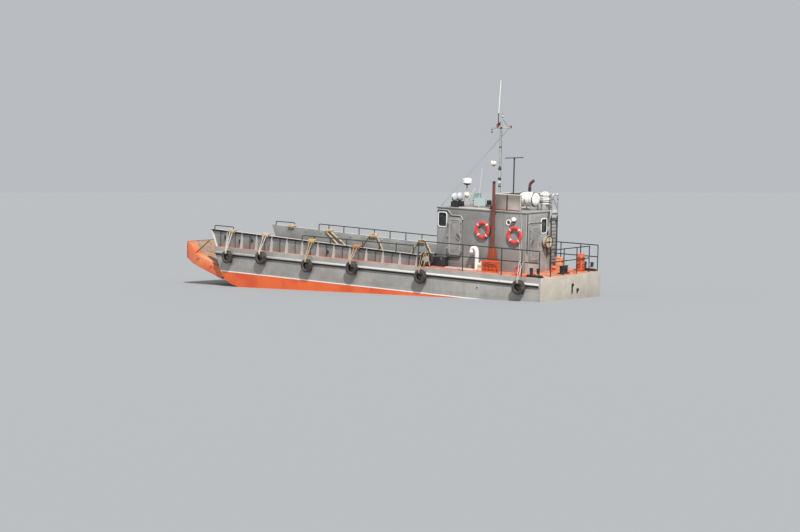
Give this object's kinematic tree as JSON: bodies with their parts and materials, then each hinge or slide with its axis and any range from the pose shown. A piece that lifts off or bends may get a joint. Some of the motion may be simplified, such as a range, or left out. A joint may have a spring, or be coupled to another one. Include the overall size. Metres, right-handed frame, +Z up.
{
  "type": "landing ferry",
  "caption": "Small flat-bottomed landing ferry with an open hold, hinged bow ramp, aft wheelhouse, mast, tyre fenders, screws and rudders.",
  "frame": {"origin": "amidships on the centreline, on the underside of the flat bottom", "axes": "+X towards the bow ramp, +Y to port, +Z up"},
  "size_m": [19.7, 4.9512, 9.5611],
  "materials": {
    "hull_grey": "weathered light grey paint with orange-red boot top and decks",
    "house_grey": "weathered mid grey paint",
    "orange_paint": "worn orange-red paint",
    "black_paint": "black paint",
    "tyre": "worn dusty rubber",
    "ring_red": "red cover with white bands",
    "white_shell": "white glass-fibre shell",
    "exhaust_red": "heat-faded red-brown paint",
    "parapet_beige": "beige painted panels with a white top rail",
    "screen_green": "pale green clear sheet",
    "mast_grey": "grey painted tube",
    "bronze": "cast bronze",
    "window_glass": "dark tinted glass",
    "rope_tan": "laid rope"
  },
  "bodies": {
    "ferry": {"hull": "hull_grey", "rub_strake_port": "hull_grey", "rub_strake_starboard": "hull_grey", "coaming_port": "hull_grey", "coaming_starboard": "hull_grey", "hold_end_coaming": "hull_grey", "coaming_rail_port": "black_paint", "coaming_rail_starboard": "black_paint", "bow_handrail_port": "black_paint", "bow_handrail_starboard": "black_paint", "aft_rail_port": "black_paint", "aft_rail_starboard": "black_paint", "stern_rail": "black_paint", "tyre_fender_port_1": "tyre", "tyre_fender_port_2": "tyre", "tyre_fender_port_3": "tyre", "tyre_fender_port_4": "tyre", "tyre_fender_port_5": "tyre", "tyre_fender_port_6": "tyre", "tyre_fender_starboard_1": "tyre", "tyre_fender_starboard_2": "tyre", "tyre_fender_starboard_3": "tyre", "tyre_fender_starboard_4": "tyre", "tyre_fender_starboard_5": "tyre", "tyre_fender_starboard_6": "tyre", "wheelhouse_wall_port": "house_grey", "wheelhouse_wall_starboard": "house_grey", "wheelhouse_wall_fore": "house_grey", "wheelhouse_wall_aft": "house_grey", "wheelhouse_roof": "house_grey", "helm_console": "black_paint", "exhaust_port": "exhaust_red", "exhaust_starboard": "exhaust_red", "vent_cowl": "white_shell", "life_ring_port_1": "ring_red", "life_ring_port_2": "ring_red", "life_ring_starboard_1": "ring_red", "life_ring_starboard_2": "ring_red", "roof_parapet": "parapet_beige", "raft_canister": "white_shell", "radar_dome": "white_shell", "searchlights": "black_paint", "roof_screen": "screen_green", "mast": "mast_grey", "t_aerial": "mast_grey", "ladder": "black_paint", "bitts_port": "black_paint", "bitts_starboard": "black_paint", "stern_locker": "orange_paint", "stern_box": "orange_paint", "tool_crate": "orange_paint", "black_locker": "black_paint"},
    "ramp": {"ramp": "orange_paint"},
    "door_port": {"door_port": "house_grey"},
    "door_starboard": {"door_starboard": "house_grey"},
    "door_aft": {"door_aft": "house_grey"},
    "propeller_port": {"propeller_port": "bronze"},
    "propeller_starboard": {"propeller_starboard": "bronze"},
    "rudder_port": {"rudder_port": "black_paint"},
    "rudder_starboard": {"rudder_starboard": "black_paint"}
  },
  "joints": [
    {"name": "ramp_hinge", "type": "hinge", "parent": "ferry", "child": "ramp", "pos_m": [8.47, 0, 0.77], "axis": [0, 1, 0], "range_deg": [0, 28]},
    {"name": "door_port_hinge", "type": "hinge", "parent": "ferry", "child": "door_port", "pos_m": [-3.52, 1.19, 3.1], "axis": [0, 0, -1], "range_deg": [0, 110]},
    {"name": "door_starboard_hinge", "type": "hinge", "parent": "ferry", "child": "door_starboard", "pos_m": [-3.52, -1.19, 3.1], "axis": [0, 0, 1], "range_deg": [0, 110]},
    {"name": "door_aft_hinge", "type": "hinge", "parent": "ferry", "child": "door_aft", "pos_m": [-7.39, 0.1, 3], "axis": [0, 0, 1], "range_deg": [0, 110]},
    {"name": "propeller_port_spin", "type": "hinge", "parent": "ferry", "child": "propeller_port", "pos_m": [-8.15, 1.05, 0.33], "axis": [1, 0, 0], "continuous": true},
    {"name": "propeller_starboard_spin", "type": "hinge", "parent": "ferry", "child": "propeller_starboard", "pos_m": [-8.15, -1.05, 0.33], "axis": [1, 0, 0], "continuous": true},
    {"name": "rudder_port_steer", "type": "hinge", "parent": "ferry", "child": "rudder_port", "pos_m": [-8.5, 1.05, 0.4], "axis": [0, 0, 1], "range_deg": [-35, 35]},
    {"name": "rudder_starboard_steer", "type": "hinge", "parent": "ferry", "child": "rudder_starboard", "pos_m": [-8.5, -1.05, 0.4], "axis": [0, 0, 1], "range_deg": [-35, 35]}
  ]
}
